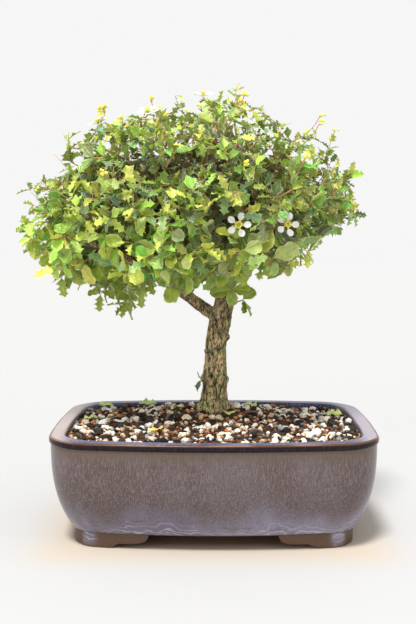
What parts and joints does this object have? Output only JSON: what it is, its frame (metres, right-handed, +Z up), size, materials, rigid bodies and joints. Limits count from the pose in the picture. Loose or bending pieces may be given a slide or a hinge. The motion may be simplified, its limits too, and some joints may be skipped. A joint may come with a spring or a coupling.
{
  "type": "dwarf holly bonsai in a glazed pot",
  "caption": "Small-leaved holly tree with a broad domed canopy, white flowers and a bare trunk, trained as a bonsai in a rectangular glazed pot on feet.",
  "frame": {"origin": "middle of the footprint of the whole object's box, on the surface that the pot stands on", "axes": "+Z up; +X along the pot's long side, to the right seen from the front; +Y to the back"},
  "size_m": [0.231, 0.1756, 0.2974],
  "materials": {
    "glaze": "glossy speckled glaze, with a dark rim and unglazed brown feet",
    "soil": "rough mix of pumice, baked clay, lava and bark bits",
    "bark": "matt, finely fissured bark with a little moss",
    "leaf": "glossy leathery leaves on thin woody shoots",
    "petal": "soft matt white petals",
    "flower_eye": "matt yellow stamens",
    "fallen_leaf": "fading, half-matt fallen leaves"
  },
  "bodies": {
    "root": {"pot": "glaze", "soil": "soil", "trunk_and_branches": "bark", "spray_01": "leaf", "spray_02": "leaf", "spray_03": "leaf", "spray_04": "leaf", "spray_05": "leaf", "spray_06": "leaf", "spray_07": "leaf", "spray_08": "leaf", "spray_09": "leaf", "spray_10": "leaf", "spray_11": "leaf", "spray_12": "leaf", "spray_13": "leaf", "spray_14": "leaf", "spray_15": "leaf", "spray_16": "leaf", "spray_17": "leaf", "spray_18": "leaf", "spray_19": "leaf", "spray_20": "leaf", "spray_21": "leaf", "spray_22": "leaf", "spray_23": "leaf", "spray_24": "leaf", "sprout_front": "leaf", "sprout_right": "leaf", "sprout_low": "leaf", "flower_01_petals": "petal", "flower_02_petals": "petal", "flower_03_petals": "petal", "flower_04_petals": "petal", "flower_05_petals": "petal", "flower_06_petals": "petal", "flower_07_petals": "petal", "flower_08_petals": "petal", "flower_09_petals": "petal", "flower_10_petals": "petal", "flower_01_eye": "flower_eye", "flower_02_eye": "flower_eye", "flower_03_eye": "flower_eye", "flower_04_eye": "flower_eye", "flower_05_eye": "flower_eye", "flower_06_eye": "flower_eye", "flower_07_eye": "flower_eye", "flower_08_eye": "flower_eye", "flower_09_eye": "flower_eye", "flower_10_eye": "flower_eye", "fallen_leaf_01": "fallen_leaf", "fallen_leaf_02": "fallen_leaf", "fallen_leaf_03": "fallen_leaf", "fallen_leaf_04": "fallen_leaf", "fallen_leaf_05": "fallen_leaf", "fallen_leaf_06": "fallen_leaf", "fallen_leaf_07": "fallen_leaf", "fallen_leaf_08": "fallen_leaf"}
  },
  "joints": []
}
